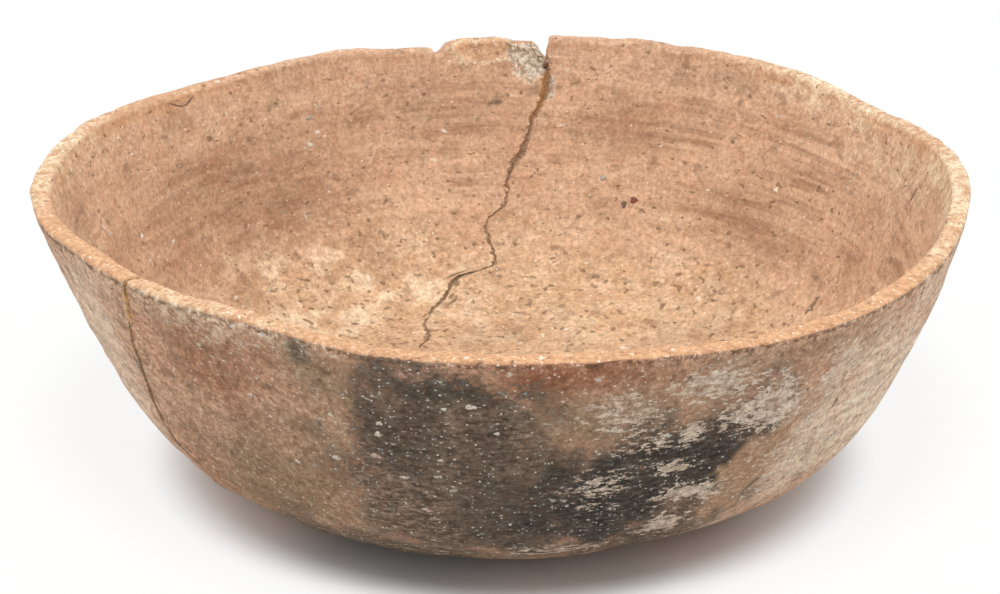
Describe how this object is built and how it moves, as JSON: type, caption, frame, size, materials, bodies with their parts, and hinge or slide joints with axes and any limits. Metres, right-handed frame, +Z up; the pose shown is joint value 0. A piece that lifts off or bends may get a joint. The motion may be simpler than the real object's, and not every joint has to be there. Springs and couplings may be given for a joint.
{
  "type": "cracked bowl",
  "caption": "Wide round-bottomed earthenware bowl with an uneven lip, a cracked and notched back wall and a mended crack at the front left; holds food or grain.",
  "frame": {"origin": "centre of the flat spot under the bowl, on the surface that it stands on", "axes": "+Z up out of the bowl's mouth, +Y towards the back lip with the crack, +X to the right seen from the front"},
  "size_m": [0.2865, 0.2845, 0.0951],
  "materials": {
    "clay": "low-fired unglazed earthenware, matt tan to reddish brown, with a black fire cloud, pale worn patches and specks"
  },
  "bodies": {
    "root": {"bowl": "clay"}
  },
  "joints": []
}
